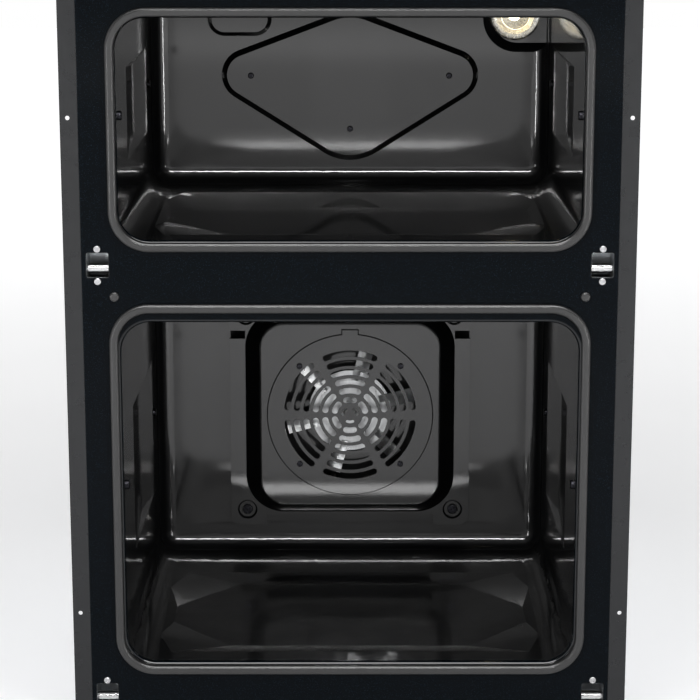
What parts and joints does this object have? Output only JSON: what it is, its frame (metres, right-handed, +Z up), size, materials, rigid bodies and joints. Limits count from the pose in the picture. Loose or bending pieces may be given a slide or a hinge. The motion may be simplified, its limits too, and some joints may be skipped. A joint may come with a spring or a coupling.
{
  "type": "built-in double oven",
  "caption": "Built-in electric double oven without its doors: small upper cavity, large fan cavity below, black enamel front frame, knobs and a timer above.",
  "frame": {"origin": "middle of the underside, at floor level of the runners", "axes": "+X to the right seen from the front, +Y into the cabinet, +Z up; the front faces -Y"},
  "size_m": [0.594, 0.605, 0.888],
  "materials": {
    "enamel": "gloss",
    "speckled_enamel": "gloss",
    "seal": "satin",
    "buffer": "satin",
    "trim_black": "satin",
    "galvanised": "satin",
    "screw_steel": "satin",
    "dark_screw": "gloss",
    "roller_steel": "satin",
    "wool": "matte",
    "fan_metal": "satin",
    "shaft_steel": "satin",
    "motor_iron": "satin",
    "element_sheath": "satin",
    "lamp_steel": "satin",
    "lens_glass": "gloss",
    "bulb_glass": "gloss",
    "probe_steel": "satin",
    "panel_black": "gloss",
    "display_glass": "gloss",
    "module_board": "matte",
    "knob_plastic": "satin",
    "button_plastic": "satin",
    "switch_plastic": "matte",
    "blower_metal": "satin",
    "terminal_plastic": "matte",
    "gland_plastic": "matte"
  },
  "bodies": {
    "oven": {"air_duct": "galvanised", "base_plate": "galvanised", "blower_housing": "galvanised", "blower_motor": "motor_iron", "cable_gland": "gland_plastic", "casing_screws": "screw_steel", "cavity_screws": "dark_screw", "control_panel": "panel_black", "display_module": "module_board", "display_window": "display_glass", "door_buffers": "buffer", "fan_cover": "enamel", "fan_motor": "motor_iron", "front_frame": "speckled_enamel", "grill_element": "element_sheath", "heat_shield": "galvanised", "hinge_pins": "screw_steel", "hinge_receivers": "galvanised", "hinge_screws": "screw_steel", "lamp_bulbs": "bulb_glass", "lamp_housings": "lamp_steel", "lamp_lenses": "lens_glass", "left_side_panel": "galvanised", "lower_back_wall": "enamel", "lower_base_element": "element_sheath", "lower_gasket": "seal", "lower_insulation": "wool", "lower_liner": "enamel", "motor_bracket": "galvanised", "panel_bracket": "galvanised", "rack_studs": "dark_screw", "rear_cover": "galvanised", "right_side_panel": "galvanised", "ring_element": "element_sheath", "rotary_switches": "switch_plastic", "side_trims": "trim_black", "temperature_probes": "probe_steel", "terminal_block": "terminal_plastic", "top_cover": "galvanised", "upper_back_wall": "enamel", "upper_base_element": "element_sheath", "upper_gasket": "seal", "upper_insulation": "wool", "upper_liner": "enamel"},
    "fan": {"fan_impeller": "fan_metal", "fan_nut": "shaft_steel", "fan_shaft": "shaft_steel"},
    "blower": {"blower_wheel": "blower_metal"},
    "upper_function_dial": {"upper_function_knob": "knob_plastic"},
    "upper_temperature_dial": {"upper_temperature_knob": "knob_plastic"},
    "lower_function_dial": {"lower_function_knob": "knob_plastic"},
    "lower_temperature_dial": {"lower_temperature_knob": "knob_plastic"},
    "minus_button": {"timer_minus_button": "button_plastic"},
    "mode_button": {"timer_mode_button": "button_plastic"},
    "plus_button": {"timer_plus_button": "button_plastic"},
    "upper_left_roller": {"upper_left_hinge_roller": "roller_steel"},
    "upper_right_roller": {"upper_right_hinge_roller": "roller_steel"},
    "lower_left_roller": {"lower_left_hinge_roller": "roller_steel"},
    "lower_right_roller": {"lower_right_hinge_roller": "roller_steel"}
  },
  "joints": [
    {"name": "fan_spin", "type": "hinge", "parent": "oven", "child": "fan", "pos_m": [0, 0.1295, 0.246], "axis": [0, 1, 0], "continuous": true},
    {"name": "blower_spin", "type": "hinge", "parent": "oven", "child": "blower", "pos_m": [0, 0.1105, 0.83], "axis": [1, 0, 0], "continuous": true},
    {"name": "upper_function_turn", "type": "hinge", "parent": "oven", "child": "upper_function_dial", "pos_m": [-0.23, -0.2875, 0.842], "axis": [0, 1, 0], "range_deg": [0, 300]},
    {"name": "upper_temperature_turn", "type": "hinge", "parent": "oven", "child": "upper_temperature_dial", "pos_m": [-0.15, -0.2875, 0.842], "axis": [0, 1, 0], "range_deg": [0, 270]},
    {"name": "lower_function_turn", "type": "hinge", "parent": "oven", "child": "lower_function_dial", "pos_m": [0.15, -0.2875, 0.842], "axis": [0, 1, 0], "range_deg": [0, 300]},
    {"name": "lower_temperature_turn", "type": "hinge", "parent": "oven", "child": "lower_temperature_dial", "pos_m": [0.23, -0.2875, 0.842], "axis": [0, 1, 0], "range_deg": [0, 270]},
    {"name": "minus_press", "type": "slide", "parent": "oven", "child": "minus_button", "axis": [0, 1, 0], "range_m": [0, 0.0015], "stiffness_N_per_m": 300, "springref_m": -0.003},
    {"name": "mode_press", "type": "slide", "parent": "oven", "child": "mode_button", "axis": [0, 1, 0], "range_m": [0, 0.0015], "stiffness_N_per_m": 300, "springref_m": -0.003},
    {"name": "plus_press", "type": "slide", "parent": "oven", "child": "plus_button", "axis": [0, 1, 0], "range_m": [0, 0.0015], "stiffness_N_per_m": 300, "springref_m": -0.003},
    {"name": "upper_left_roller_spin", "type": "hinge", "parent": "oven", "child": "upper_left_roller", "pos_m": [-0.261, -0.2455, 0.4925], "axis": [1, 0, 0], "continuous": true},
    {"name": "upper_right_roller_spin", "type": "hinge", "parent": "oven", "child": "upper_right_roller", "pos_m": [0.261, -0.2455, 0.4925], "axis": [1, 0, 0], "continuous": true},
    {"name": "lower_left_roller_spin", "type": "hinge", "parent": "oven", "child": "lower_left_roller", "pos_m": [-0.261, -0.2455, 0.022], "axis": [1, 0, 0], "continuous": true},
    {"name": "lower_right_roller_spin", "type": "hinge", "parent": "oven", "child": "lower_right_roller", "pos_m": [0.261, -0.2455, 0.022], "axis": [1, 0, 0], "continuous": true}
  ]
}
